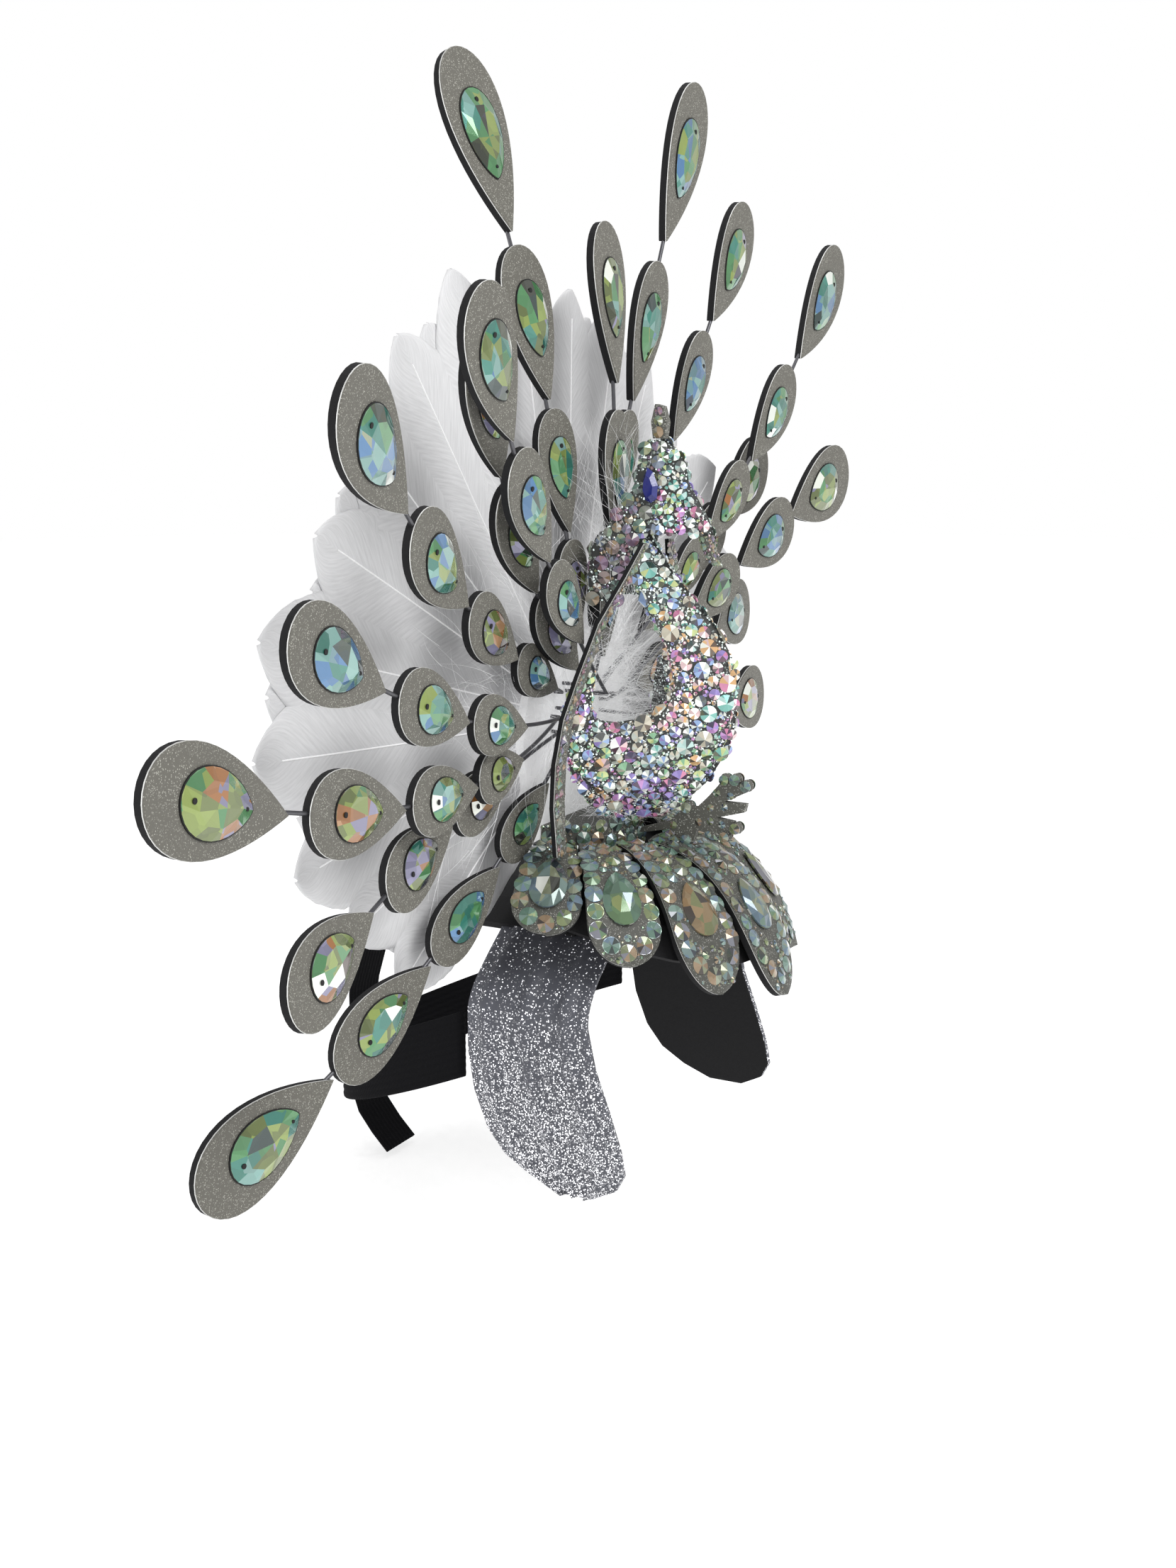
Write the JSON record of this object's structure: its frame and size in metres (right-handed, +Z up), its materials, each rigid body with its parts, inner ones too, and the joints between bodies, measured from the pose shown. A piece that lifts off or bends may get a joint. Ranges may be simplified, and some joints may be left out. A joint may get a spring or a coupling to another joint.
{
  "type": "carnival headdress",
  "caption": "Carnival headdress: a crystal-paved bird over foam petals, ridged side flaps, an elastic head strap, and a fan of jewelled drop wires and feathers.",
  "frame": {"origin": "on the inner face of the head band at the crown of the head, where the headdress sits", "axes": "+Z up, -Y towards the wearer's front, +X towards the wearer's left"},
  "size_m": [0.6317, 0.2385, 0.5369],
  "materials": {
    "elastic": "black woven elastic",
    "beak_and_crest": "crystal stones on foam",
    "black_foam": "black craft foam",
    "paved_bird": "iridescent crystal stones paved on black foam",
    "eyes": "navy faceted stone",
    "feathers": "white feather vanes",
    "ornament": "silver glitter foam with small stones",
    "petals": "grey glitter foam with crystal stones",
    "jewelled_wires": "grey glitter foam drops with cut crystal stones on steel wire",
    "side_flaps": "slate glitter foam, ridged"
  },
  "bodies": {
    "root": {"back_strap": "elastic", "back_strip": "elastic", "beak": "beak_and_crest", "bird_foot": "black_foam", "breast_left": "paved_bird", "breast_right": "paved_bird", "brow_base": "black_foam", "crest": "beak_and_crest", "eye_left": "eyes", "eye_right": "eyes", "fan_plate": "black_foam", "feather_fan_left": "feathers", "feather_fan_right": "feathers", "front_ornament": "ornament", "head_band": "black_foam", "head_neck_left": "paved_bird", "head_neck_right": "paved_bird", "petal_centre": "petals", "petal_left_1": "petals", "petal_left_2": "petals", "petal_left_3": "petals", "petal_right_1": "petals", "petal_right_2": "petals", "petal_right_3": "petals", "ray_centre": "jewelled_wires", "ray_left_1": "jewelled_wires", "ray_left_2": "jewelled_wires", "ray_left_3": "jewelled_wires", "ray_left_4": "jewelled_wires", "ray_left_5": "jewelled_wires", "ray_left_6": "jewelled_wires", "ray_left_7": "jewelled_wires", "ray_left_8": "jewelled_wires", "ray_right_1": "jewelled_wires", "ray_right_2": "jewelled_wires", "ray_right_3": "jewelled_wires", "ray_right_4": "jewelled_wires", "ray_right_5": "jewelled_wires", "ray_right_6": "jewelled_wires", "ray_right_7": "jewelled_wires", "ray_right_8": "jewelled_wires", "side_flap_left": "side_flaps", "side_flap_right": "side_flaps", "wing_left": "paved_bird", "wing_right": "paved_bird"}
  },
  "joints": []
}
